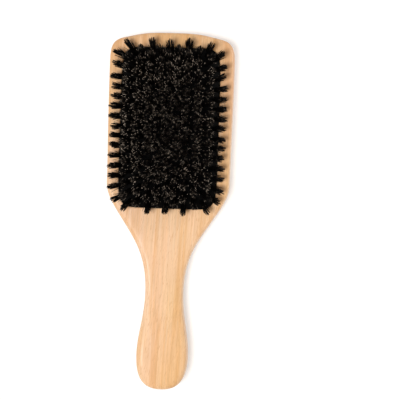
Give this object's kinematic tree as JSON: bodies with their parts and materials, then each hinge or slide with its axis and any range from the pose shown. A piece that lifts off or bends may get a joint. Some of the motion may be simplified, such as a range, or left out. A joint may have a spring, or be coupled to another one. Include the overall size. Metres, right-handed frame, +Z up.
{
  "type": "paddle hairbrush",
  "caption": "Wooden paddle hairbrush: rectangular head with a springy domed rubber cushion that carries tufts of black bristle, and a rounded handle with a slim neck.",
  "frame": {"origin": "under the middle of the brush, on the surface that it lies on", "axes": "+Z up out of the bristle side, +Y along the brush from the handle to the head, +X across it"},
  "size_m": [0.0842, 0.24, 0.0339],
  "materials": {
    "beech": "pale beech, fine straight grain with small darker flecks, sanded and satin lacquered",
    "black_rubber": "matt black rubber",
    "lining_cloth": "plain woven grey cloth",
    "bristle": "natural black boar bristle, satin, with paler tips"
  },
  "bodies": {
    "root": {"paddle_body": "beech", "rubber_cushion": "black_rubber", "cushion_lining": "lining_cloth"},
    "bristle_bed": {"tuft_row_01": "bristle", "tuft_row_02": "bristle", "tuft_row_03": "bristle", "tuft_row_04": "bristle", "tuft_row_05": "bristle", "tuft_row_06": "bristle", "tuft_row_07": "bristle", "tuft_row_08": "bristle", "tuft_row_09": "bristle", "tuft_row_10": "bristle", "tuft_row_11": "bristle", "tuft_row_12": "bristle", "tuft_row_13": "bristle", "tuft_row_14": "bristle", "tuft_row_15": "bristle", "tuft_row_16": "bristle"}
  },
  "joints": [
    {"name": "cushion_press", "type": "slide", "parent": "root", "child": "bristle_bed", "axis": [0, 0, -1], "range_m": [0, 0.003], "stiffness_N_per_m": 2500, "springref_m": -0.0004, "deforming": ["rubber_cushion", "cushion_lining"]}
  ]
}
